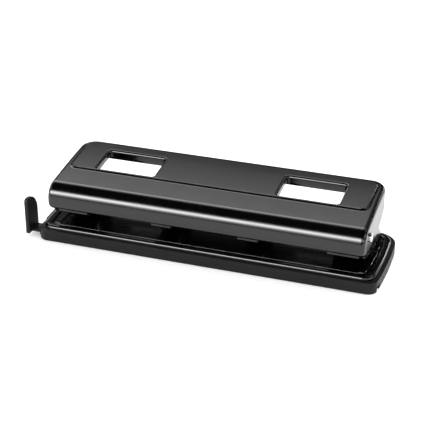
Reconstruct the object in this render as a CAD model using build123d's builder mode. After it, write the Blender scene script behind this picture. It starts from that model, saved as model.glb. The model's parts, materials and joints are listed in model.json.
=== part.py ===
from build123d import *
import os
from math import atan2, cos, degrees, hypot, radians, sin, sqrt, tan

# Four-hole desk punch with a full-length lever. Lengths are millimetres.
# Frame: origin at the centre of the underside, +X to the right along the length,
# +Y to the rear, +Z up. The lever is drawn at rest, raised by its return springs.

# ---- base ------------------------------------------------------------------
BASE_LENGTH = 312.0          # over the four corners
BASE_FRONT = -49.0
BASE_REAR = 45.0
END_BULGE = 2.2              # the short ends bow out by this much at their middle
TRAY_CORNERS = (9.0, 20.0)   # front and rear corner radii of the outer edge

TRAY_HEIGHT = 11.0
TRAY_WALL = 4.2              # the top of the wall shows as a ledge outside the steel bed
TRAY_FLOOR = 1.6
TRAY_EDGE = 1.2              # rounding of the underside
SPLIT_GAP = 0.3              # parting line between the tray and the steel bed

BED_SHEET = 1.2
BED_BOTTOM = TRAY_HEIGHT + SPLIT_GAP
BED_TOP = BED_BOTTOM + BED_SHEET
RIDGE_TOP = 14.3
RIDGE_INSET = 3.3            # outer foot of the ridge, in from the tray's outer edge
RIDGE_WIDTH = 6.4
RIDGE_CORNERS = (13.8, 21.5)
RIDGE_OUTER_ROUND = 2.7
RIDGE_INNER_ROUND = 1.7
SKIRT_DEPTH = 3.0
SKIRT_THICK = 1.3
SKIRT_GAP = 0.3
TABLE_INSET = 11.4           # flat paper table pressed up inside the ridge
TABLE_TOP = 13.2
TABLE_ROUND = 0.6
PAD_TOP = 14.2               # pads pressed up at the table's ends
PAD_INNER_X = 138.8
PAD_GAP_Y = (-6.4, 3.6)      # the pads leave this much of the ends flat
PAD_ROUND = 0.9
FOOT_PAD = (127.5, 25.4)     # inner and front limits of the pad under each end plate's foot

# ---- lever -----------------------------------------------------------------
HANDLE_LENGTH = 290.0
HANDLE_FRONT = -48.3
HANDLE_REAR = 41.5
HANDLE_SHEET = 1.2
NOSE_RADIUS = 14.0
TOP_FRONT = (HANDLE_FRONT, 54.6)     # virtual front corner of the top, as (y, z)
TOP_MIDDLE = (-3.4, 60.8)
TOP_REAR = (HANDLE_REAR, 65.0)
CURL_START = 38.5                    # height where the front face starts to curl under
CURL_RADIUS = 6.25
CURL_ANGLE = 53.13
REAR_CORNER = 14.0
EDGE_ROUND = 4.0
SECTION_FOOT = 20.0                  # the section is drawn down to here and then trimmed
FRONT_LIP_Z = 33.4
LIP_RUN = 8.0                        # the lower edge falls a little behind the front lip
LIP_FALL = 0.6
CHEEK_LINE = ((7.0, 32.3), (29.0, 43.8), (44.0, 48.8))   # lower edge of the cheek, (y, z)
CHEEK_ROUND = 14.0
TRIM_MARGIN = 20.0
WINDOW_X = 85.0                      # middle of each hand window
WINDOW_SIZE = (55.5, 32.2)
WINDOW_Y = 6.3
WINDOW_CORNER = 3.2
WINDOW_ROLL = 2.3                    # the skin rolls over into the rim
WINDOW_RIM = 4.8                     # depth of the turned-down rim under the skin
PANEL_SIZE = (278.0, 48.4)           # raised rear panel at the level of the skin
PANEL_Y = 10.6
PANEL_CORNER = 7.0
PANEL_RISE = 1.6
PANEL_TAPER = 42.0
PANEL_ROUND = 3.0                    # hollow round at the foot of the step
PANEL_LIFT = 0.5                        # the pad's own plane above the skin's chord
PANEL_SINK = 3.0                     # the tapered pad starts this far under the skin

# ---- pivot and punching stations --------------------------------------------
PIVOT = (-29.5, 44.5)                # (y, z) of the lever's axis
PIVOT_RADIUS = 3.0
PIVOT_CLEARANCE = 0.05
PIVOT_HEAD = (4.0, 1.8)              # radius and thickness of the pin's head
END_PLATE_X = 141.7                  # inner face
END_PLATE_SHEET = 1.5
END_FOOT = (15.0, 7.0)
END_FOOT_Y = 29.2
HOLE_PITCH = 80.0
PUNCH_Y = 0.5
PAPER_STOP_Y = PUNCH_Y + 12.0
PUNCH_RADIUS = 3.0
PUNCH_TIP_Z = 15.7
PUNCH_HOLLOW = 1.2                   # the cutting end is hollow ground by this much
PUNCH_HEAD = (4.8, 3.2)              # radius and height of the head
HEAD_GAP = 0.35                      # between the head and the lever's skin
DOME_RADIUS = 10.0
GROOVE_RADIUS = 2.4
CLIP = (5.0, 0.9)                    # radius and thickness of the retaining ring
CLIP_TOP_Z = 39.35
SPRING_RADII = (3.5, 4.6)
BRACKET_SHEET = 1.5
BRACKET_TOP_Z = 40.2                 # middle of the top flange
BRACKET_FRONT_Y = -37.75
BRACKET_BEND = 1.6
INNER_BRACKET_WIDTH = 18.0
OUTER_BRACKET_REACH = (-9.0, 18.5)   # outer brackets run on nearly to the end plates
LIP_Z = 16.2                         # middle of the lip that guides the punch's lower end
DIE_SIZE = (18.0, 33.0, 3.0)
DIE_Y = 9.5
DIE_CLEARANCE = 0.06
RIVET_RADIUS = 1.5
RIVET_HEAD = (2.8, 1.1)
BRACKET_RIVET_Y = 20.5
BRACKET_RIVET_SPREAD = 5.5
END_RIVET_X = (130.5, 137.5)

# ---- paper guide -------------------------------------------------------------
GUIDE_BAR = (131.5, 13.0, 2.0)
GUIDE_BAR_LEFT = -166.5
GUIDE_BAR_Y = -36.5
GUIDE_BAR_Z = 5.4
STOP_LEFT = -168.2
STOP_THICK = 3.4
STOP_BOTTOM = 3.6
STOP_TOP = 38.4
STOP_FRONT = -48.5
STOP_REAR = -28.5
CHANNEL_SIZE = (16.0, 8.3)           # across and high
CHANNEL_SPANS = ((-156.0, -140.0), (-130.0, -116.0))
CHANNEL_PLAY = 0.2


def base_outline(inset, corners):
    """Plan of the base: straight long sides, bowed ends and rounded corners."""
    half_length = BASE_LENGTH / 2 - inset
    front = BASE_FRONT + inset
    rear = BASE_REAR - inset
    tip = half_length + END_BULGE
    middle = (front + rear) / 2
    with BuildSketch() as outline:
        with BuildLine():
            Line((-half_length, front), (half_length, front))
            ThreePointArc((half_length, front), (tip, middle), (half_length, rear))
            Line((half_length, rear), (-half_length, rear))
            ThreePointArc((-half_length, rear), (-tip, middle), (-half_length, front))
        make_face()
        fillet(outline.vertices().group_by(Axis.Y)[0], corners[0] - inset)
        fillet(outline.vertices().group_by(Axis.Y)[-1], corners[1] - inset)
    return outline.sketch


def handle_section(growth):
    """Side view of the lever's outside, as (y, z) in a plain sketch, moved outwards by growth."""
    curl_centre = (HANDLE_FRONT + CURL_RADIUS, CURL_START)
    curl_end = (
        curl_centre[0] - CURL_RADIUS * cos(radians(CURL_ANGLE)),
        curl_centre[1] - CURL_RADIUS * sin(radians(CURL_ANGLE)),
    )
    drop = curl_end[1] - SECTION_FOOT
    foot_y = curl_end[0] + drop * sin(radians(CURL_ANGLE)) / cos(radians(CURL_ANGLE))
    with BuildSketch() as section:
        with BuildLine():
            Line((foot_y, SECTION_FOOT), curl_end)
            RadiusArc(curl_end, (HANDLE_FRONT, CURL_START), CURL_RADIUS)
            Line((HANDLE_FRONT, CURL_START), TOP_FRONT)
            ThreePointArc(TOP_FRONT, TOP_MIDDLE, TOP_REAR)
            Line(TOP_REAR, (HANDLE_REAR, SECTION_FOOT))
            Line((HANDLE_REAR, SECTION_FOOT), (foot_y, SECTION_FOOT))
        make_face()
        fillet(section.vertices().sort_by_distance(TOP_FRONT + (0,))[0], NOSE_RADIUS)
        if growth:
            offset(amount=growth, kind=Kind.INTERSECTION)
    return section.sketch


def handle_plan(inset):
    """Plan of the lever: square front corners, large rear ones."""
    length = HANDLE_LENGTH - 2 * inset
    depth = HANDLE_REAR - HANDLE_FRONT - 2 * inset
    with BuildSketch() as plan:
        with Locations((0, (HANDLE_FRONT + HANDLE_REAR) / 2)):
            Rectangle(length, depth)
        fillet(plan.vertices().group_by(Axis.Y)[-1], REAR_CORNER - inset)
    return plan.sketch


def window_plan(growth):
    """Plan of both hand windows."""
    with BuildSketch() as plan:
        with Locations((-WINDOW_X, WINDOW_Y), (WINDOW_X, WINDOW_Y)):
            RectangleRounded(
                WINDOW_SIZE[0] + 2 * growth, WINDOW_SIZE[1] + 2 * growth, WINDOW_CORNER + growth
            )
    return plan.sketch


def rounded_rim(edge):
    """True for the edges between the lever's top or nose and its cheeks, corners and rear."""
    middle = edge @ 0.5
    along_x = abs((edge % 0.5).X) > 0.99
    upright = abs((edge % 0.5).Z) > 0.999
    if middle.Z < SECTION_FOOT + 3 or (upright and middle.Y > 0):
        return False
    return not along_x or middle.Y > HANDLE_REAR - 3


def skin_round_pad(face):
    """True for the lever's top skin once the raised pad stands on it."""
    return face.center().Z > TOP_FRONT[1] and len(face.inner_wires()) == 1


def window_edge(edge):
    """True for the upper edges of the two hand windows."""
    for part_way in (0, 0.5, 1):
        point = edge @ part_way
        beyond_x = abs(abs(point.X) - WINDOW_X) - WINDOW_SIZE[0] / 2
        beyond_y = abs(point.Y - WINDOW_Y) - WINDOW_SIZE[1] / 2
        if point.Z < TOP_FRONT[1] - NOSE_RADIUS or max(beyond_x, beyond_y) > 0.01:
            return False
    return True


def handle_block(inset, rim_radius):
    """Solid block inside the lever's outside, inset by a sheet thickness or more."""
    section = handle_section(-inset)
    plan = handle_plan(inset)
    with BuildPart() as block:
        with BuildSketch(Plane.YZ):
            add(section)
        extrude(amount=HANDLE_LENGTH / 2, both=True)
        with BuildSketch():
            add(plan)
        extrude(amount=TOP_REAR[1] * 2, mode=Mode.INTERSECT)
        if rim_radius:
            fillet(block.edges().filter_by(rounded_rim), rim_radius)
    return block.part


def top_height(y):
    """Height of the lever's outside over a point of its depth."""
    (y1, z1), (y2, z2), (y3, z3) = TOP_FRONT, TOP_MIDDLE, TOP_REAR
    slope = (z3 - z1) / (y3 - y1)
    sagitta = z2 - (z1 + slope * (y2 - y1))
    half_chord = hypot(y3 - y1, z3 - z1) / 2
    radius = (half_chord**2 + sagitta**2) / (2 * sagitta)
    tilt = atan2(z3 - z1, y3 - y1)
    centre_y = y2 + radius * sin(tilt)
    centre_z = z2 - radius * cos(tilt)
    return centre_z + sqrt(radius**2 - (y - centre_y) ** 2)


outer_plan = base_outline(0, TRAY_CORNERS)
tray_cavity_plan = base_outline(TRAY_WALL, TRAY_CORNERS)
skirt_outer_plan = base_outline(TRAY_WALL + SKIRT_GAP, RIDGE_CORNERS)
skirt_inner_plan = base_outline(TRAY_WALL + SKIRT_GAP + SKIRT_THICK, RIDGE_CORNERS)
ridge_plan = base_outline(RIDGE_INSET, RIDGE_CORNERS)
ridge_hollow_plan = base_outline(RIDGE_INSET + RIDGE_WIDTH - BED_SHEET, RIDGE_CORNERS)
recess_plan = base_outline(RIDGE_INSET + RIDGE_WIDTH, RIDGE_CORNERS)
table_plan = base_outline(TABLE_INSET, RIDGE_CORNERS)

stations = [-1.5 * HOLE_PITCH, -0.5 * HOLE_PITCH, 0.5 * HOLE_PITCH, 1.5 * HOLE_PITCH]
punch_places = [(x, PUNCH_Y) for x in stations]
bracket_rivet_places = [
    (x + side * BRACKET_RIVET_SPREAD, BRACKET_RIVET_Y) for x in stations for side in (-1, 1)
]
end_rivet_places = [(side * x, END_FOOT_Y) for side in (-1, 1) for x in END_RIVET_X]
channel_bottom = BED_BOTTOM - CHANNEL_SIZE[1]

# ---- chip tray ---------------------------------------------------------------
# Open plastic shell under the whole base. Its left wall is notched for the guide's
# channel and its right front corner holds a finger catch in the bottom edge.
CHANNEL_NOTCH = (-46.0, -27.2)
SKIRT_NOTCH = 84.0                   # the bed's skirt is cut away over both channels
CATCH_BLOCK = (10.5, 10.0, 7.5)
CATCH_BLOCK_CENTRE = (149.3, -39.0)
CATCH_SIZE = (10.0, 7.5, 5.5)
CATCH_CENTRE = (155.5, -38.7)
with BuildPart() as chip_tray:
    with BuildSketch():
        add(outer_plan)
    extrude(amount=TRAY_HEIGHT)
    fillet(chip_tray.faces().sort_by(Axis.Z)[0].edges(), TRAY_EDGE)
    with BuildSketch(Plane.XY.offset(TRAY_FLOOR)):
        add(tray_cavity_plan)
    extrude(amount=TRAY_HEIGHT, mode=Mode.SUBTRACT)
    with BuildSketch(Plane.XY.offset(TRAY_EDGE)):
        with Locations(CATCH_BLOCK_CENTRE):
            Rectangle(CATCH_BLOCK[0], CATCH_BLOCK[1])
    extrude(amount=CATCH_BLOCK[2] - TRAY_EDGE)
    with BuildSketch():
        with Locations(CATCH_CENTRE):
            Rectangle(CATCH_SIZE[0], CATCH_SIZE[1])
    extrude(amount=CATCH_SIZE[2], mode=Mode.SUBTRACT)
    with BuildSketch(Plane.XY.offset(channel_bottom - 0.4)):
        with Locations((-BASE_LENGTH / 2, sum(CHANNEL_NOTCH) / 2)):
            Rectangle(4 * TRAY_WALL, CHANNEL_NOTCH[1] - CHANNEL_NOTCH[0])
    extrude(amount=TRAY_HEIGHT, mode=Mode.SUBTRACT)
chip_tray.part.label = "chip_tray"

# ---- base plate --------------------------------------------------------------
# The paper table and its end pads are shaped first, each with its own rounded edge.
with BuildPart() as paper_table:
    with BuildSketch(Plane.XY.offset(BED_TOP)):
        add(table_plan)
    extrude(amount=TABLE_TOP - BED_TOP)
    fillet(paper_table.faces().sort_by(Axis.Z)[-1].edges(), TABLE_ROUND)

pad_boxes = [
    ((PAD_INNER_X, BASE_LENGTH / 2), (BASE_FRONT, PAD_GAP_Y[0])),
    ((PAD_INNER_X, BASE_LENGTH / 2), (PAD_GAP_Y[1], BASE_REAR)),
    ((FOOT_PAD[0], BASE_LENGTH / 2), (FOOT_PAD[1], BASE_REAR)),
]
with BuildPart() as end_pads:
    with BuildSketch(Plane.XY.offset(BED_TOP)):
        for side in (-1, 1):
            for (inner, outer), (front, rear) in pad_boxes:
                with Locations((side * (inner + outer) / 2, (front + rear) / 2)):
                    Rectangle(outer - inner, rear - front)
        add(table_plan, mode=Mode.INTERSECT)
    extrude(amount=PAD_TOP - BED_TOP)
    fillet(end_pads.faces().filter_by(Axis.Z).group_by(Axis.Z)[-1].edges(), PAD_ROUND)

# Pressed steel bed: a hollow rounded ridge all round a flat recess, with a short skirt
# that locates it inside the tray.
with BuildPart() as base_plate:
    with BuildSketch(Plane.XY.offset(BED_BOTTOM)):
        add(ridge_plan)
    extrude(amount=RIDGE_TOP - BED_BOTTOM)
    fillet(base_plate.faces().sort_by(Axis.Z)[-1].edges(), RIDGE_OUTER_ROUND)
    with BuildSketch(Plane.XY.offset(BED_TOP)):
        add(recess_plan)
    extrude(amount=RIDGE_TOP, mode=Mode.SUBTRACT)
    fillet(base_plate.faces().sort_by(Axis.Z)[-1].inner_wires()[0].edges(), RIDGE_INNER_ROUND)
    add(paper_table.part)
    add(end_pads.part)
    with BuildSketch(Plane.XY.offset(BED_BOTTOM)):
        add(skirt_inner_plan)
        add(ridge_hollow_plan, mode=Mode.SUBTRACT)
    extrude(amount=RIDGE_TOP - BED_SHEET - BED_BOTTOM, mode=Mode.SUBTRACT)
    with BuildSketch(Plane.XY.offset(BED_BOTTOM - SKIRT_DEPTH)):
        add(skirt_outer_plan)
        add(skirt_inner_plan, mode=Mode.SUBTRACT)
    extrude(amount=SKIRT_DEPTH)
    with BuildSketch(Plane.XY.offset(BED_BOTTOM - SKIRT_DEPTH)):
        with Locations((-BASE_LENGTH / 2, sum(CHANNEL_NOTCH) / 2)):
            Rectangle(SKIRT_NOTCH, CHANNEL_NOTCH[1] - CHANNEL_NOTCH[0])
    extrude(amount=SKIRT_DEPTH, mode=Mode.SUBTRACT)
    with Locations(*[(x, y, PAD_TOP) for x, y in punch_places]):
        Hole(PUNCH_RADIUS + 2 * DIE_CLEARANCE, depth=PAD_TOP - BED_BOTTOM)
    with Locations(*[(x, y, PAD_TOP) for x, y in bracket_rivet_places + end_rivet_places]):
        Hole(RIVET_RADIUS, depth=PAD_TOP - BED_BOTTOM)
base_plate.part.label = "base_plate"

# ---- die plates --------------------------------------------------------------
die_plates = []
for number, station_x in enumerate(stations, start=1):
    with BuildPart() as die_plate:
        with BuildSketch(Plane.XY.offset(BED_BOTTOM - DIE_SIZE[2])):
            with Locations((station_x, DIE_Y)):
                RectangleRounded(DIE_SIZE[0], DIE_SIZE[1], 2)
        extrude(amount=DIE_SIZE[2])
        with Locations((station_x, PUNCH_Y, BED_BOTTOM)):
            Hole(PUNCH_RADIUS + DIE_CLEARANCE, depth=DIE_SIZE[2])
        with Locations(*[
            (station_x + side * BRACKET_RIVET_SPREAD, BRACKET_RIVET_Y, BED_BOTTOM) for side in (-1, 1)
        ]):
            Hole(RIVET_RADIUS, depth=DIE_SIZE[2])
    die_plate.part.label = f"die_plate_{number}"
    die_plates.append(die_plate.part)

# ---- punching brackets ---------------------------------------------------------
# One folded strip each: foot, rear wall (the paper stop), top flange, front wall and the
# sloping lip that leads the paper in. The lip and the top flange guide the punch.
half_sheet = BRACKET_SHEET / 2
bracket_fold = [
    (BRACKET_RIVET_Y + 4.5, TABLE_TOP + half_sheet),
    (PAPER_STOP_Y + half_sheet, TABLE_TOP + half_sheet),
    (PAPER_STOP_Y + half_sheet, BRACKET_TOP_Z),
    (BRACKET_FRONT_Y, BRACKET_TOP_Z),
    (BRACKET_FRONT_Y, 27.0),
    (-9.0, LIP_Z),
    (PAPER_STOP_Y - 4.5, LIP_Z),
]
brackets = []
for number, station_x in enumerate(stations, start=1):
    low, high = -INNER_BRACKET_WIDTH / 2, INNER_BRACKET_WIDTH / 2
    if number == 1:
        low, high = -OUTER_BRACKET_REACH[1], -OUTER_BRACKET_REACH[0]
    if number == len(stations):
        low, high = OUTER_BRACKET_REACH
    with BuildPart() as bracket:
        with BuildSketch(Plane.YZ.offset(station_x + low)):
            with BuildLine():
                FilletPolyline(*bracket_fold, radius=BRACKET_BEND)
            trace(line_width=BRACKET_SHEET)
        extrude(amount=high - low)
        with Locations((station_x, PUNCH_Y, BRACKET_TOP_Z + half_sheet)):
            Hole(PUNCH_RADIUS + PIVOT_CLEARANCE, depth=BRACKET_TOP_Z + half_sheet - TABLE_TOP)
        with Locations(*[
            (station_x + side * BRACKET_RIVET_SPREAD, BRACKET_RIVET_Y, TABLE_TOP + BRACKET_SHEET)
            for side in (-1, 1)
        ]):
            Hole(RIVET_RADIUS, depth=BRACKET_SHEET)
    bracket.part.label = f"punch_bracket_{number}"
    brackets.append(bracket.part)

# ---- end plates ----------------------------------------------------------------
# Upright cheeks with the pivot hole, the open sloping paper throat and a foot turned in.
foot_rear = END_FOOT_Y + END_FOOT[1] / 2
end_outline = [
    (-36.5, 26.0), (9.0, 16.6), (13.6, 16.6), (13.6, PAD_TOP), (foot_rear, PAD_TOP),
    (foot_rear, PAD_TOP + 2.4), (28.0, 21.8), (18.0, 29.5), (8.0, 38.0), (-18.0, 50.5), (-33.0, 51.5), (-38.0, 46.5),
    (-38.0, 28.5),
]
with BuildPart() as right_end_plate:
    with BuildSketch(Plane.YZ.offset(END_PLATE_X)) as end_face:
        with BuildLine():
            Polyline(*end_outline, close=True)
        make_face()
        fillet(end_face.vertices().filter_by_position(Axis.X, -40, -30), 1.4)
    extrude(amount=END_PLATE_SHEET)
    with BuildSketch(Plane.XY.offset(PAD_TOP)):
        with Locations((END_PLATE_X + END_PLATE_SHEET - END_FOOT[0] / 2, END_FOOT_Y)):
            Rectangle(END_FOOT[0], END_FOOT[1])
    extrude(amount=END_PLATE_SHEET)
    with BuildSketch(Plane.YZ.offset(END_PLATE_X)):
        with Locations(PIVOT):
            Circle(PIVOT_RADIUS)
    extrude(amount=END_PLATE_SHEET, mode=Mode.SUBTRACT)
    with Locations(*[(x, END_FOOT_Y, PAD_TOP + END_PLATE_SHEET) for x in END_RIVET_X]):
        Hole(RIVET_RADIUS, depth=END_PLATE_SHEET)
right_end_plate.part.label = "right_end_plate"

with BuildPart() as left_end_plate:
    mirror(right_end_plate.part, about=Plane.YZ)
left_end_plate.part.label = "left_end_plate"

# ---- rivets --------------------------------------------------------------------
rivet_groups = {
    "bracket_rivets": (bracket_rivet_places, BED_BOTTOM - DIE_SIZE[2], TABLE_TOP + BRACKET_SHEET),
    "end_plate_rivets": (end_rivet_places, BED_BOTTOM, PAD_TOP + END_PLATE_SHEET),
}
rivets = []
for name, (places, grip_bottom, grip_top) in rivet_groups.items():
    with BuildPart() as rivet_group:
        with BuildSketch(Plane.XY.offset(grip_bottom)):
            with Locations(*places):
                Circle(RIVET_RADIUS)
        extrude(amount=grip_top - grip_bottom)
        for head_bottom in (grip_bottom - RIVET_HEAD[1], grip_top):
            with BuildSketch(Plane.XY.offset(head_bottom)):
                with Locations(*places):
                    Circle(RIVET_HEAD[0])
            extrude(amount=RIVET_HEAD[1])
        fillet(rivet_group.edges().group_by(Axis.Z)[-1], RIVET_HEAD[1] * 0.8)
    rivet_group.part.label = name
    rivets.append(rivet_group.part)

# ---- lever ---------------------------------------------------------------------
# Deep-drawn sheet: the block inside its outside, less the block inside the sheet. The
# sheet turns down round both hand windows, so the hollow leaves a rim there.
outer_block = handle_block(0, EDGE_ROUND)
inner_block = handle_block(HANDLE_SHEET, EDGE_ROUND - HANDLE_SHEET)
deep_block = handle_block(WINDOW_RIM, 0)
raised_section = handle_section(PANEL_RISE)
window_opening = window_plan(0)
window_pad = window_plan(HANDLE_SHEET)
top_tilt = degrees(atan2(TOP_REAR[1] - TOP_FRONT[1], TOP_REAR[0] - TOP_FRONT[0]))
chord_height = (TOP_FRONT[1] + TOP_REAR[1]) / 2 + PANEL_LIFT
chord_plane = Plane.XY.offset(chord_height).rotated((top_tilt, 0, 0))

pad_spread = PANEL_SINK * tan(radians(PANEL_TAPER))
with BuildPart() as raised_pad:
    with BuildSketch(chord_plane.offset(-PANEL_SINK)):
        with Locations((0, PANEL_Y)):
            RectangleRounded(
                PANEL_SIZE[0] + 2 * pad_spread, PANEL_SIZE[1] + 2 * pad_spread,
                PANEL_CORNER + pad_spread,
            )
    extrude(amount=2 * PANEL_SINK, taper=PANEL_TAPER)
    with BuildSketch(Plane.YZ):
        add(raised_section)
    extrude(amount=HANDLE_LENGTH / 2, both=True, mode=Mode.INTERSECT)

with BuildPart() as hollow:
    add(inner_block)
    with BuildSketch():
        add(window_pad)
    extrude(amount=TOP_REAR[1] * 2, mode=Mode.SUBTRACT)
    add(deep_block)

cheek_end = CHEEK_LINE[-1]
trim_front = (HANDLE_FRONT - TRIM_MARGIN, FRONT_LIP_Z)
with BuildPart() as handle:
    add(outer_block)
    add(raised_pad.part)
    fillet(handle.faces().filter_by(skin_round_pad)[0].inner_wires()[0].edges(), PANEL_ROUND)
    with BuildSketch():
        add(window_opening)
    extrude(amount=TOP_REAR[1] * 2, mode=Mode.SUBTRACT)
    fillet(handle.edges().filter_by(window_edge), WINDOW_ROLL)
    add(hollow.part, mode=Mode.SUBTRACT)
    with BuildSketch(Plane.YZ) as waste:
        with BuildLine():
            Polyline(
                (trim_front[0], 0), trim_front, (HANDLE_FRONT + LIP_RUN, FRONT_LIP_Z - LIP_FALL), *CHEEK_LINE,
                (cheek_end[0] + TRIM_MARGIN, cheek_end[1]), (cheek_end[0] + TRIM_MARGIN, 0), close=True,
            )
        make_face()
        fillet(waste.vertices().sort_by_distance(CHEEK_LINE[0] + (0,))[0], CHEEK_ROUND)
        fillet(waste.vertices().sort_by_distance(CHEEK_LINE[1] + (0,))[0], CHEEK_ROUND)
    extrude(amount=HANDLE_LENGTH, both=True, mode=Mode.SUBTRACT)
    with BuildSketch(Plane.YZ):
        with Locations(PIVOT):
            Circle(PIVOT_RADIUS + PIVOT_CLEARANCE)
    extrude(amount=HANDLE_LENGTH, both=True, mode=Mode.SUBTRACT)
handle.part.label = "handle"

# ---- pivot pins ----------------------------------------------------------------
head_face = HANDLE_LENGTH / 2 + 0.15
with BuildPart() as right_pivot_pin:
    with BuildSketch(Plane.YZ.offset(END_PLATE_X - PIVOT_HEAD[1])):
        with Locations(PIVOT):
            Circle(PIVOT_HEAD[0])
    extrude(amount=PIVOT_HEAD[1])
    with BuildSketch(Plane.YZ.offset(END_PLATE_X)):
        with Locations(PIVOT):
            Circle(PIVOT_RADIUS)
    extrude(amount=head_face - END_PLATE_X)
    with BuildSketch(Plane.YZ.offset(head_face)):
        with Locations(PIVOT):
            Circle(PIVOT_HEAD[0])
    extrude(amount=PIVOT_HEAD[1])
    chamfer(right_pivot_pin.edges().group_by(Axis.X)[-1], 0.4)
right_pivot_pin.part.label = "right_pivot_pin"

with BuildPart() as left_pivot_pin:
    mirror(right_pivot_pin.part, about=Plane.YZ)
left_pivot_pin.part.label = "left_pivot_pin"

# ---- punch pins, retaining rings and return springs ------------------------------
head_top = top_height(PUNCH_Y) - HANDLE_SHEET - HEAD_GAP
head_edge = head_top - (DOME_RADIUS - sqrt(DOME_RADIUS**2 - PUNCH_HEAD[0] ** 2))
head_bottom_z = head_edge - PUNCH_HEAD[1] + 1.0
groove_bottom = CLIP_TOP_Z - CLIP[1]
bracket_top = BRACKET_TOP_Z + half_sheet
punch_parts = []
for number, station_x in enumerate(stations, start=1):
    punch_plane = Plane((station_x, PUNCH_Y, 0), x_dir=(1, 0, 0), z_dir=(0, -1, 0))
    punch_axis = Axis((station_x, PUNCH_Y, 0), (0, 0, 1))
    with BuildPart() as punch_pin:
        with BuildSketch(punch_plane):
            with BuildLine():
                Polyline(
                    (0, PUNCH_TIP_Z + PUNCH_HOLLOW), (PUNCH_RADIUS, PUNCH_TIP_Z),
                    (PUNCH_RADIUS, groove_bottom),
                    (GROOVE_RADIUS, groove_bottom), (GROOVE_RADIUS, CLIP_TOP_Z),
                    (PUNCH_RADIUS, CLIP_TOP_Z), (PUNCH_RADIUS, head_bottom_z),
                    (PUNCH_HEAD[0], head_bottom_z), (PUNCH_HEAD[0], head_edge),
                )
                RadiusArc((PUNCH_HEAD[0], head_edge), (0, head_top), -DOME_RADIUS)
                Line((0, head_top), (0, PUNCH_TIP_Z + PUNCH_HOLLOW))
            make_face()
        revolve(axis=punch_axis)
    punch_pin.part.label = f"punch_pin_{number}"

    with BuildPart() as pin_clip:
        with BuildSketch(Plane.XY.offset(groove_bottom)):
            with Locations((station_x, PUNCH_Y)):
                Circle(CLIP[0])
                Circle(GROOVE_RADIUS, mode=Mode.SUBTRACT)
            with Locations((station_x, PUNCH_Y - CLIP[0])):
                Rectangle(GROOVE_RADIUS * 1.5, CLIP[0] * 2, mode=Mode.SUBTRACT)
        extrude(amount=CLIP[1])
    pin_clip.part.label = f"pin_clip_{number}"

    with BuildPart() as return_spring:
        with BuildSketch(Plane.XY.offset(bracket_top)):
            with Locations((station_x, PUNCH_Y)):
                Circle(SPRING_RADII[1])
                Circle(SPRING_RADII[0], mode=Mode.SUBTRACT)
        extrude(amount=head_bottom_z - bracket_top)
    return_spring.part.label = f"return_spring_{number}"
    punch_parts += [punch_pin.part, pin_clip.part, return_spring.part]

# ---- paper guide ---------------------------------------------------------------
bar_right = GUIDE_BAR_LEFT + GUIDE_BAR[0]
with BuildPart() as guide_bar:
    with BuildSketch(Plane.XY.offset(GUIDE_BAR_Z - GUIDE_BAR[2] / 2)) as bar_plan:
        with Locations(((GUIDE_BAR_LEFT + bar_right) / 2, GUIDE_BAR_Y)):
            Rectangle(GUIDE_BAR[0], GUIDE_BAR[1])
        fillet(bar_plan.vertices().group_by(Axis.X)[-1], 3)
    extrude(amount=GUIDE_BAR[2])
guide_bar.part.label = "guide_bar"

with BuildPart() as guide_stop:
    with BuildSketch(Plane.YZ.offset(STOP_LEFT)) as blade:
        with BuildLine():
            Polyline((-42.5, STOP_TOP), (STOP_FRONT, STOP_TOP), (STOP_FRONT, STOP_BOTTOM),
                     (STOP_REAR, STOP_BOTTOM), (STOP_REAR, 23.0))
            ThreePointArc((STOP_REAR, 23.0), (-33.0, 33.6), (-42.5, STOP_TOP))
        make_face()
        fillet(blade.vertices().group_by(Axis.Y)[0], 1.5)
        fillet(blade.vertices().sort_by_distance((STOP_FRONT, STOP_TOP, 0))[0], 3.0)
    extrude(amount=STOP_THICK)
    chamfer(guide_stop.faces().filter_by(Axis.X).edges(), 0.5)
    with BuildSketch(Plane.YZ.offset(GUIDE_BAR_LEFT)):
        with Locations((GUIDE_BAR_Y, GUIDE_BAR_Z)):
            Rectangle(GUIDE_BAR[1], GUIDE_BAR[2])
    extrude(amount=STOP_THICK, mode=Mode.SUBTRACT)
guide_stop.part.label = "guide_stop"

channels = []
for number, (left, right) in enumerate(CHANNEL_SPANS, start=1):
    with BuildPart() as channel:
        with BuildSketch(Plane.YZ.offset(left)):
            with Locations((GUIDE_BAR_Y, BED_BOTTOM - CHANNEL_SIZE[1] / 2)):
                Rectangle(*CHANNEL_SIZE)
            with Locations((GUIDE_BAR_Y, GUIDE_BAR_Z)):
                Rectangle(
                    GUIDE_BAR[1] + 2 * CHANNEL_PLAY, GUIDE_BAR[2] + 2 * CHANNEL_PLAY, mode=Mode.SUBTRACT
                )
        extrude(amount=right - left)
    channel.part.label = f"guide_channel_{number}"
    channels.append(channel.part)

# ---- write every piece ---------------------------------------------------------
pieces = [
    chip_tray.part, base_plate.part, left_end_plate.part, right_end_plate.part, handle.part,
    left_pivot_pin.part, right_pivot_pin.part, guide_bar.part, guide_stop.part,
]
pieces += die_plates + brackets + rivets + punch_parts + channels
os.makedirs("parts", exist_ok=True)
for piece in pieces:
    export_step(piece, f"parts/{piece.label}.step")
    print(piece.label, round(piece.volume))
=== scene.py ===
import json
from math import cos, pi, radians, sin

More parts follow.
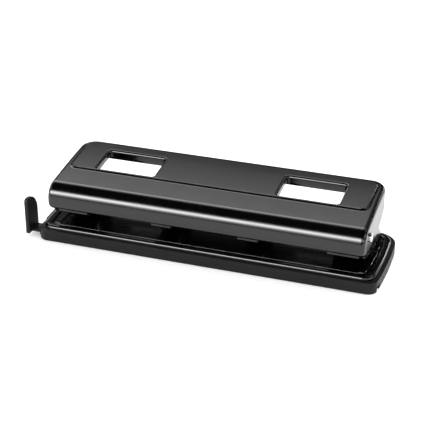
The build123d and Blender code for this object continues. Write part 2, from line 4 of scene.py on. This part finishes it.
import bmesh
import bpy
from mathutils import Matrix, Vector


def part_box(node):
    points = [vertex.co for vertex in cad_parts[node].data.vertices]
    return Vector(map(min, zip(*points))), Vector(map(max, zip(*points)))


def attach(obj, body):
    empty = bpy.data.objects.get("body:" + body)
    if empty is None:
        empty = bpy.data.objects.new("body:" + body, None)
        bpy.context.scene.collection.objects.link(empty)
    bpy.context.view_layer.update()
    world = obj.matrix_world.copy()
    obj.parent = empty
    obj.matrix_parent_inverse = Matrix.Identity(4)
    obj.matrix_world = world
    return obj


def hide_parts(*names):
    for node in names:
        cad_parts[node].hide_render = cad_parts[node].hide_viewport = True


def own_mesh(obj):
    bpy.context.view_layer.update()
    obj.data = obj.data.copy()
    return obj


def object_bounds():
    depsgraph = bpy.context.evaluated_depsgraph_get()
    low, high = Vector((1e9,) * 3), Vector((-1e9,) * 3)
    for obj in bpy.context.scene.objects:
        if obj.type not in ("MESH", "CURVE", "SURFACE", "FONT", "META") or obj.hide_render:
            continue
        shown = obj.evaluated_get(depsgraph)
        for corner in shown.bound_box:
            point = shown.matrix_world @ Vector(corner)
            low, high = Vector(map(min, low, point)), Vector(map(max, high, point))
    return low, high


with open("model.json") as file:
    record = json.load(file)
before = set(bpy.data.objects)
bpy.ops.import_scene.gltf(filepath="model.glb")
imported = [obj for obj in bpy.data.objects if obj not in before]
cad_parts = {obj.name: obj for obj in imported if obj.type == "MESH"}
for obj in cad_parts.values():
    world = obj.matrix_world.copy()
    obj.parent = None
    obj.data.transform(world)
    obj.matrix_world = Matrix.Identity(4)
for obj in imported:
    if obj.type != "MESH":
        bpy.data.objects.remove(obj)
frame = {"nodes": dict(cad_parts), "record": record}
cad_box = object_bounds()


# ---- node helpers -----------------------------------------------------------
def new_material(name):
    """An empty node material with a Principled shader joined to its output."""
    mat = bpy.data.materials.new(name)
    mat.use_nodes = True
    tree = mat.node_tree
    tree.nodes.clear()
    out = tree.nodes.new("ShaderNodeOutputMaterial")
    shader = tree.nodes.new("ShaderNodeBsdfPrincipled")
    tree.links.new(shader.outputs["BSDF"], out.inputs["Surface"])
    return mat, tree, shader


def place(tree, scale=(1, 1, 1)):
    """Object coordinates in metres, stretched by scale."""
    coord = tree.nodes.new("ShaderNodeTexCoord")
    mapping = tree.nodes.new("ShaderNodeMapping")
    mapping.inputs["Scale"].default_value = scale
    tree.links.new(coord.outputs["Object"], mapping.inputs["Vector"])
    return mapping.outputs["Vector"]


def noise(tree, vector, per_metre, detail=3.0, rough=0.5):
    node = tree.nodes.new("ShaderNodeTexNoise")
    node.inputs["Scale"].default_value = per_metre
    node.inputs["Detail"].default_value = detail
    node.inputs["Roughness"].default_value = rough
    tree.links.new(vector, node.inputs["Vector"])
    return node.outputs["Fac"]


def spread(tree, value, low, high, start=0.3, stop=0.7):
    """Map a 0 to 1 noise on to low to high."""
    node = tree.nodes.new("ShaderNodeMapRange")
    node.inputs["From Min"].default_value = start
    node.inputs["From Max"].default_value = stop
    node.inputs["To Min"].default_value = low
    node.inputs["To Max"].default_value = high
    tree.links.new(value, node.inputs["Value"])
    return node.outputs["Result"]


def mix_colour(tree, value, dark, light):
    node = tree.nodes.new("ShaderNodeMix")
    node.data_type = "RGBA"
    node.inputs["A"].default_value = (*dark, 1)
    node.inputs["B"].default_value = (*light, 1)
    tree.links.new(value, node.inputs["Factor"])
    return node.outputs["Result"]


def bump(tree, shader, height, distance, strength=1.0, below=None):
    node = tree.nodes.new("ShaderNodeBump")
    node.inputs["Strength"].default_value = strength
    node.inputs["Distance"].default_value = distance
    tree.links.new(height, node.inputs["Height"])
    if below is not None:
        tree.links.new(below, node.inputs["Normal"])
    tree.links.new(node.outputs["Normal"], shader.inputs["Normal"])
    return node.outputs["Normal"]


# ---- materials ----------------------------------------------------------------
def lacquer():
    """Stoved black lacquer over steel: glossy, with a faint orange peel and handling haze."""
    mat, tree, shader = new_material("black_lacquer")
    shader.inputs["IOR"].default_value = 1.52
    here = place(tree)
    tree.links.new(
        mix_colour(tree, noise(tree, here, 60), (0.0006, 0.0006, 0.0007), (0.0014, 0.0014, 0.0016)),
        shader.inputs["Base Color"],
    )
    tree.links.new(
        spread(tree, noise(tree, here, 35, 5.0, 0.6), 0.13, 0.19), shader.inputs["Roughness"]
    )
    bump(tree, shader, noise(tree, here, 900, 2.0, 0.4), 0.000006)
    return mat


def plastic(name, dark, light, rough_low, rough_high, grain):
    """Injection-moulded plastic with a fine spark-eroded grain."""
    mat, tree, shader = new_material(name)
    shader.inputs["IOR"].default_value = 1.48
    shader.inputs["Specular IOR Level"].default_value = 0.22
    here = place(tree)
    tree.links.new(
        mix_colour(tree, noise(tree, here, 90, 4.0), dark, light), shader.inputs["Base Color"]
    )
    tree.links.new(
        spread(tree, noise(tree, here, 240, 4.0), rough_low, rough_high), shader.inputs["Roughness"]
    )
    bump(tree, shader, noise(tree, here, 2600, 3.0, 0.6), grain)
    return mat


def steel(name, dark, light, rough_low, rough_high, stretch, grain=0.000004):
    """Bare or plated steel with fine drawn or turned lines along one direction."""
    mat, tree, shader = new_material(name)
    shader.inputs["Metallic"].default_value = 1.0
    lines = place(tree, stretch)
    cloud = place(tree)
    tree.links.new(
        mix_colour(tree, noise(tree, cloud, 300, 4.0), dark, light), shader.inputs["Base Color"]
    )
    tree.links.new(
        spread(tree, noise(tree, lines, 900, 3.0), rough_low, rough_high), shader.inputs["Roughness"]
    )
    bump(tree, shader, noise(tree, lines, 1400, 2.0), grain)
    return mat


BLACK = lacquer()
TRAY = plastic("tray_plastic", (0.0026, 0.0026, 0.0028), (0.0048, 0.0048, 0.0051), 0.42, 0.54, 0.000030)
GUIDE = plastic(
    "guide_plastic", (0.0070, 0.0070, 0.0074), (0.0100, 0.0100, 0.0104), 0.34, 0.44, 0.000018
)
NICKEL = steel("bright_steel", (0.62, 0.62, 0.63), (0.78, 0.78, 0.79), 0.18, 0.30, (1, 1, 12))
GROUND = steel("ground_steel", (0.42, 0.42, 0.43), (0.56, 0.56, 0.57), 0.24, 0.38, (12, 1, 1))
SPRING = steel("spring_steel", (0.38, 0.38, 0.39), (0.52, 0.52, 0.53), 0.22, 0.34, (3, 3, 3))

FINISH = {
    "lacquered_steel": BLACK,
    "matte_black_plastic": TRAY,
    "bright_steel": NICKEL,
    "tool_steel": GROUND,
    "spring_steel": SPRING,
}
OWN_FINISH = {"guide_bar": GUIDE, "guide_stop": GUIDE}

slot_of = {part["node"]: part["material_slot"] for part in frame["record"]["subparts"]}

for node_name, node in frame["nodes"].items():
    found = OWN_FINISH.get(node_name) or FINISH[slot_of[node_name]]
    for material_slot in node.material_slots:
        material_slot.material = found

# ---- return springs -----------------------------------------------------------------
STATIONS = 4
WIRE = 0.00052                          # radius of the spring's wire
SPRING_TURNS = 6.0
CLOSED_TURNS = 0.9                      # at each end, where the turns lie on each other
STEPS_PER_TURN = 40


def tube(name, points, radius, sides=10):
    """Round bar along a line of points, with flat ends."""
    mesh = bmesh.new()
    rings = []
    for i, point in enumerate(points):
        ahead = (points[min(i + 1, len(points) - 1)] - points[max(i - 1, 0)]).normalized()
        across = ahead.cross(Vector((0, 0, 1))).normalized()
        upward = across.cross(ahead)
        rings.append([
            mesh.verts.new(point + (across * cos(turn) + upward * sin(turn)) * radius)
            for turn in (2 * pi * k / sides for k in range(sides))
        ])
    for low, high in zip(rings, rings[1:]):
        for k in range(sides):
            face = mesh.faces.new((low[k], low[(k + 1) % sides], high[(k + 1) % sides], high[k]))
            face.smooth = True
    mesh.faces.new(list(reversed(rings[0])))
    mesh.faces.new(rings[-1])
    bmesh.ops.recalc_face_normals(mesh, faces=mesh.faces)
    data = bpy.data.meshes.new(name)
    mesh.to_mesh(data)
    mesh.free()
    obj = bpy.data.objects.new(name, data)
    bpy.context.scene.collection.objects.link(obj)
    return obj


def coil(name, sleeve, material):
    """Compression spring filling a sleeve's box, with a closed turn at each end."""
    low, high = sleeve
    centre = (low + high) / 2
    radius = (high.x - low.x) / 2 - WIRE
    bottom, top = low.z + WIRE, high.z - WIRE
    open_turns = SPRING_TURNS - 2 * CLOSED_TURNS
    free = top - bottom - 4 * WIRE * CLOSED_TURNS
    points = []
    for i in range(int(SPRING_TURNS * STEPS_PER_TURN) + 1):
        turns = i / STEPS_PER_TURN
        climb = min(max((turns - CLOSED_TURNS) / open_turns, 0), 1)
        rise = 2 * WIRE * (min(turns, CLOSED_TURNS) + max(turns - SPRING_TURNS + CLOSED_TURNS, 0))
        around = 2 * pi * turns
        points.append(Vector((
            centre.x + radius * cos(around),
            centre.y + radius * sin(around),
            bottom + rise + free * climb,
        )))
    obj = tube(name, points, WIRE)
    obj.data.materials.append(material)
    return obj


for number in range(1, STATIONS + 1):
    sleeve_name = f"return_spring_{number}"
    low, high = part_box(sleeve_name)
    spring = coil(f"coil_spring_{number}", (low, high), SPRING)
    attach(spring, "base")
    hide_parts(sleeve_name)
    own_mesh(spring)

# ---- camera ---------------------------------------------------------------------
camera_data = bpy.data.cameras.new("camera")
camera_data.lens = 105.55
camera_data.sensor_width = 36.0
camera_data.clip_start = 0.01
camera_data.clip_end = 60
camera = bpy.data.objects.new("camera", camera_data)
camera.location = (0.3182, -0.9442, 0.5404)
camera.rotation_euler = (radians(62.86), 0, radians(18.883))
bpy.context.scene.collection.objects.link(camera)
bpy.context.scene.camera = camera
bpy.context.scene.view_settings.view_transform = "Standard"

# ---- floor ------------------------------------------------------------------------
FLOOR_HALF = 9.0
FLOOR_GAP = 0.0002                      # keeps the tray's underside clear of the floor
FLOOR_GLOW = 0.30                       # lightens the contact shadow
FLOOR_CORNERS = ((-1, -1), (1, -1), (1, 1), (-1, 1))
floor_z = cad_box[0].z - FLOOR_GAP
floor_mesh = bpy.data.meshes.new("floor")
floor_mesh.from_pydata(
    [(side_x * FLOOR_HALF, side_y * FLOOR_HALF, floor_z) for side_x, side_y in FLOOR_CORNERS],
    [], [(0, 1, 2, 3)],
)
floor = bpy.data.objects.new("floor", floor_mesh)
bpy.context.scene.collection.objects.link(floor)
floor_mat, floor_tree, floor_shader = new_material("floor_paper")
floor_shader.inputs["Base Color"].default_value = (0.94, 0.94, 0.94, 1)
floor_shader.inputs["Roughness"].default_value = 0.9
floor_shader.inputs["Emission Color"].default_value = (1, 1, 1, 1)
floor_shader.inputs["Emission Strength"].default_value = FLOOR_GLOW
floor_shader.inputs["Specular IOR Level"].default_value = 0.2
floor_mesh.materials.append(floor_mat)


# ---- light -------------------------------------------------------------------------
# The studio is a dark tent with long lights parallel to the object's length: STRIPS gives
# how bright it is, by the angle in degrees from the front horizon up over the top to the
# rear horizon. Mirror-like reflections see these; the floor is lit evenly. The lights hang
# on the left of the middle, and fade out towards both sides.
STRIPS = (
    (0, 0.5), (10, 1.2), (19, 7.0), (25, 19.0), (31, 22.0), (36, 15.0), (42, 3.0), (47, 0.2),
    (52, 0.0), (108, 0.0), (114, 0.5), (119, 2.4), (124, 5.0), (128, 5.4), (132, 2.8),
    (135, 1.4), (138, 1.2), (142, 0.8), (146, 0.15), (150, 0.03), (180, 0.03),
)
STRIP_PEAK = 22.0
SIDE_FADES = ((-0.95, -0.60, 0.2, 1.0), (-0.13, -0.02, 1.0, 0.2))
TENT_DIFFUSE = 1.2

world = bpy.data.worlds.new("studio")
bpy.context.scene.world = world
world.use_nodes = True
tree = world.node_tree
tree.nodes.clear()
sky = tree.nodes.new("ShaderNodeTexCoord")
axes = tree.nodes.new("ShaderNodeSeparateXYZ")
towards_front = tree.nodes.new("ShaderNodeMath")
towards_front.operation = "MULTIPLY"
towards_front.inputs[1].default_value = -1.0
angle = tree.nodes.new("ShaderNodeMath")
angle.operation = "ARCTAN2"
share = tree.nodes.new("ShaderNodeMapRange")
share.inputs["From Min"].default_value = 0.0
share.inputs["From Max"].default_value = pi
ramp = tree.nodes.new("ShaderNodeValToRGB")
for number, (degrees_up, glow) in enumerate(STRIPS):
    if number in (0, len(STRIPS) - 1):
        stop = ramp.color_ramp.elements[0 if number == 0 else -1]
        stop.position = degrees_up / 180
    else:
        stop = ramp.color_ramp.elements.new(degrees_up / 180)
    level = glow / STRIP_PEAK
    stop.color = (level, level, level, 1)
mirror_light = tree.nodes.new("ShaderNodeBackground")
mask = []
for start, stop, low, high in SIDE_FADES:
    edge = tree.nodes.new("ShaderNodeMapRange")
    edge.interpolation_type = "SMOOTHSTEP"
    edge.inputs["From Min"].default_value = start
    edge.inputs["From Max"].default_value = stop
    edge.inputs["To Min"].default_value = low
    edge.inputs["To Max"].default_value = high
    tree.links.new(axes.outputs["X"], edge.inputs["Value"])
    mask.append(edge.outputs["Result"])
limit = tree.nodes.new("ShaderNodeMath")
limit.operation = "MULTIPLY"
tree.links.new(mask[0], limit.inputs[0])
tree.links.new(mask[1], limit.inputs[1])
level_up = tree.nodes.new("ShaderNodeMath")
level_up.operation = "MULTIPLY"
level_up.inputs[1].default_value = STRIP_PEAK
tree.links.new(limit.outputs["Value"], level_up.inputs[0])
tree.links.new(level_up.outputs["Value"], mirror_light.inputs["Strength"])
even_light = tree.nodes.new("ShaderNodeBackground")
even_light.inputs["Color"].default_value = (1, 1, 1, 1)
even_light.inputs["Strength"].default_value = TENT_DIFFUSE
path = tree.nodes.new("ShaderNodeLightPath")
choose = tree.nodes.new("ShaderNodeMixShader")
out = tree.nodes.new("ShaderNodeOutputWorld")
tree.links.new(sky.outputs["Generated"], axes.inputs["Vector"])
tree.links.new(axes.outputs["Y"], towards_front.inputs[0])
tree.links.new(axes.outputs["Z"], angle.inputs[0])
tree.links.new(towards_front.outputs["Value"], angle.inputs[1])
tree.links.new(angle.outputs["Value"], share.inputs["Value"])
tree.links.new(share.outputs["Result"], ramp.inputs["Fac"])
tree.links.new(ramp.outputs["Color"], mirror_light.inputs["Color"])
tree.links.new(path.outputs["Is Glossy Ray"], choose.inputs["Fac"])
tree.links.new(even_light.outputs["Background"], choose.inputs[1])
tree.links.new(mirror_light.outputs["Background"], choose.inputs[2])
tree.links.new(choose.outputs["Shader"], out.inputs["Surface"])


def softbox(name, direction, distance, width, height, radiance, glossy=True, diffuse=True):
    """Area light in a direction (azimuth, elevation) seen from the object, facing it."""
    data = bpy.data.lights.new(name, "AREA")
    data.shape = "RECTANGLE"
    data.size = width
    data.size_y = height
    data.energy = radiance * width * height * pi
    azimuth, elevation = radians(direction[0]), radians(direction[1])
    level = cos(elevation)
    at = Vector((sin(azimuth) * level, -cos(azimuth) * level, sin(elevation))) * distance
    obj = bpy.data.objects.new(name, data)
    obj.location = at
    obj.rotation_euler = (at * -1).to_track_quat("-Z", "Y").to_euler()
    obj.visible_camera = False
    obj.visible_glossy = glossy
    obj.visible_diffuse = diffuse
    bpy.context.scene.collection.objects.link(obj)
    return obj


softbox("right_rear_box", (152, 14), 2.6, 0.55, 0.40, 9.0, diffuse=False)
softbox("left_rear_box", (-149, 10), 2.6, 0.45, 0.35, 6.0, diffuse=False)
softbox("right_box", (84, 30), 2.6, 1.2, 0.9, 3.0, diffuse=False)
softbox("left_box", (-84, 30), 2.6, 1.2, 0.9, 3.0, diffuse=False)
softbox("floor_wash", (140, 50), 3.0, 2.0, 2.0, 3.4, glossy=False)
